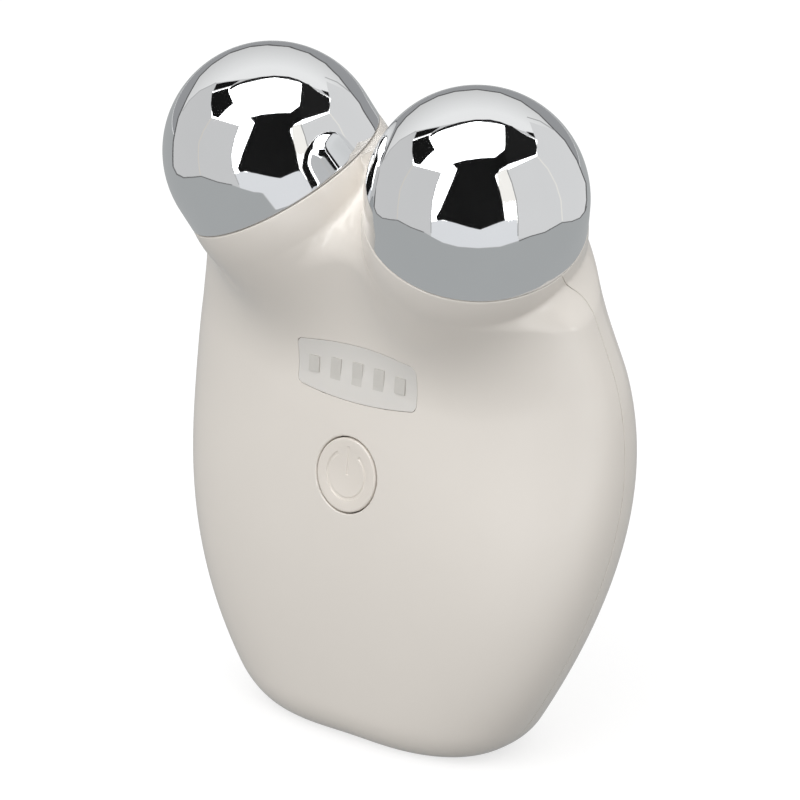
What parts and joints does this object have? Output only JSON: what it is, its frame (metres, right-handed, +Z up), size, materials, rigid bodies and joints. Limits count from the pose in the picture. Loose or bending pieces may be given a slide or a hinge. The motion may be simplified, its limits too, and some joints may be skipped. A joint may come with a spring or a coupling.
{
  "type": "facial toning device",
  "caption": "Hand-held facial toner: palm-sized two-shell body with polished dome electrodes on splayed necks, a level window and a sprung power button.",
  "frame": {"origin": "centre of the flat resting face at the bottom of the body", "axes": "+Z up from the resting face towards the electrodes, -Y out of the front face with the button, +X to the right of someone facing the front"},
  "size_m": [0.0794, 0.0404, 0.1015],
  "materials": {
    "casing": "pearl satin gloss",
    "button": "pearl satin gloss",
    "electrode": "polished",
    "window": "frosted translucent",
    "light_guide": "clear grey",
    "insulator": "natural nylon",
    "seal": "soft",
    "screw": "zinc plated",
    "contact": "plated",
    "wire": "insulated",
    "led": "clear",
    "board": "solder mask",
    "black_plastic": "moulded",
    "coil": "wound copper",
    "capacitor": "can",
    "battery_foil": "foil pouch",
    "foam": "foam"
  },
  "bodies": {
    "housing": {"front_shell": "casing", "rear_shell": "casing", "electrode_right": "electrode", "electrode_left": "electrode", "electrode_seat_right": "insulator", "electrode_seat_left": "insulator", "electrode_seals": "seal", "electrode_screws": "screw", "contact_tabs": "contact", "wire_right": "wire", "wire_left": "wire", "indicator_lens": "window", "light_guide": "light_guide", "level_leds": "led", "button_guide": "insulator", "switch_body": "black_plastic", "main_board": "board", "controller_chip": "black_plastic", "boost_coil": "coil", "filter_capacitors": "capacitor", "buzzer": "black_plastic", "board_screws": "screw", "battery": "battery_foil", "battery_pad": "foam", "battery_plug": "insulator", "battery_leads": "wire", "charge_socket": "black_plastic", "socket_pin": "contact", "charge_leads": "wire"},
    "button": {"power_button": "button", "switch_plunger": "insulator"}
  },
  "joints": [
    {"name": "button_press", "type": "slide", "parent": "housing", "child": "button", "axis": [0, 0.9882, -0.153], "range_m": [0, 0.0005], "stiffness_N_per_m": 1500}
  ]
}
